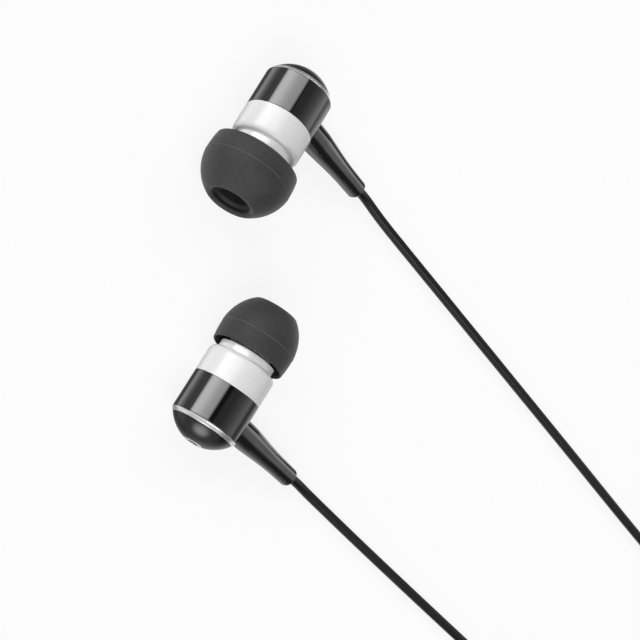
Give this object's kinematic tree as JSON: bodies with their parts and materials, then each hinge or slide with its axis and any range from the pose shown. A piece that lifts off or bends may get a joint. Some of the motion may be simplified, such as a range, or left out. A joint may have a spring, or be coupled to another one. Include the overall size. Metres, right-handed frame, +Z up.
{
  "type": "wired earphones",
  "caption": "Wired in-ear earphones: black barrels with pearl front shells, chrome necks and silicone tips, tapered stems, two leads, a splitter and a 3.5 mm plug",
  "frame": {"origin": "on the surface it lies on, under the centre of the box round the two earphones without their cord", "axes": "+X from the left earphone towards the right one, +Z up"},
  "size_m": [0.1138, 0.1237, 0.013],
  "materials": {
    "silicone": "matte grey silicone with a fine grain",
    "mesh_steel": "perforated steel disc",
    "chrome_trim": "polished chrome",
    "pearl_shell": "pearl white lacquer with a soft gloss",
    "diaphragm_film": "thin formed film",
    "copper_wire": "enamelled copper",
    "basket_plastic": "moulded black plastic",
    "driver_steel": "plated steel",
    "magnet_metal": "nickel plated magnet",
    "board_laminate": "green laminate",
    "gloss_black": "deep black with a high gloss",
    "dark_metal": "smoked satin metal",
    "damper_felt": "acoustic felt",
    "stem_black": "black moulding with a soft gloss",
    "cord_jacket": "smooth black cable jacket",
    "moulded_black": "black moulding with a fine matte grain",
    "contact_metal": "nickel plated contacts"
  },
  "bodies": {
    "headset": {"left_nozzle_mesh": "mesh_steel", "left_neck": "chrome_trim", "left_front_shell": "pearl_shell", "left_driver_cover": "mesh_steel", "left_driver_basket": "basket_plastic", "left_pole_plate": "driver_steel", "left_magnet": "magnet_metal", "left_yoke": "driver_steel", "left_terminal_board": "board_laminate", "left_solder_wires": "copper_wire", "left_barrel": "gloss_black", "left_trim_ring": "chrome_trim", "left_rear_cap": "dark_metal", "left_vent_eyelet": "chrome_trim", "left_vent_damper": "damper_felt", "left_stem": "stem_black", "left_cable_end": "cord_jacket", "right_nozzle_mesh": "mesh_steel", "right_neck": "chrome_trim", "right_front_shell": "pearl_shell", "right_driver_cover": "mesh_steel", "right_driver_basket": "basket_plastic", "right_pole_plate": "driver_steel", "right_magnet": "magnet_metal", "right_yoke": "driver_steel", "right_terminal_board": "board_laminate", "right_solder_wires": "copper_wire", "right_barrel": "gloss_black", "right_trim_ring": "chrome_trim", "right_rear_cap": "dark_metal", "right_vent_eyelet": "chrome_trim", "right_vent_damper": "damper_felt", "right_stem": "stem_black", "right_cable_end": "cord_jacket", "left_lead": "cord_jacket", "left_lead_coil": "cord_jacket", "left_lead_end": "cord_jacket", "right_lead": "cord_jacket", "right_lead_coil": "cord_jacket", "right_lead_end": "cord_jacket", "splitter": "moulded_black", "main_cord": "cord_jacket", "main_cord_coil": "cord_jacket", "main_cord_end": "cord_jacket", "plug_relief": "moulded_black", "plug_grip": "moulded_black", "plug_sleeve": "contact_metal", "plug_insulators": "basket_plastic", "plug_ring": "contact_metal", "plug_tip": "contact_metal"},
    "left_tip": {"left_ear_tip": "silicone"},
    "left_cone": {"left_diaphragm": "diaphragm_film", "left_voice_coil": "copper_wire"},
    "right_tip": {"right_ear_tip": "silicone"},
    "right_cone": {"right_diaphragm": "diaphragm_film", "right_voice_coil": "copper_wire"}
  },
  "joints": [
    {"name": "left_tip_pull", "type": "slide", "parent": "headset", "child": "left_tip", "axis": [0.8832, -0.4558, 0.1105], "range_m": [0, 0.007]},
    {"name": "left_cone_stroke", "type": "slide", "parent": "headset", "child": "left_cone", "axis": [0.8832, -0.4558, 0.1105], "range_m": [-0.00015, 0.00015], "stiffness_N_per_m": 100},
    {"name": "right_tip_pull", "type": "slide", "parent": "headset", "child": "right_tip", "axis": [-0.9156, 0.4, 0.0418], "range_m": [0, 0.007]},
    {"name": "right_cone_stroke", "type": "slide", "parent": "headset", "child": "right_cone", "axis": [-0.9156, 0.4, 0.0418], "range_m": [-0.00015, 0.00015], "stiffness_N_per_m": 100}
  ]
}
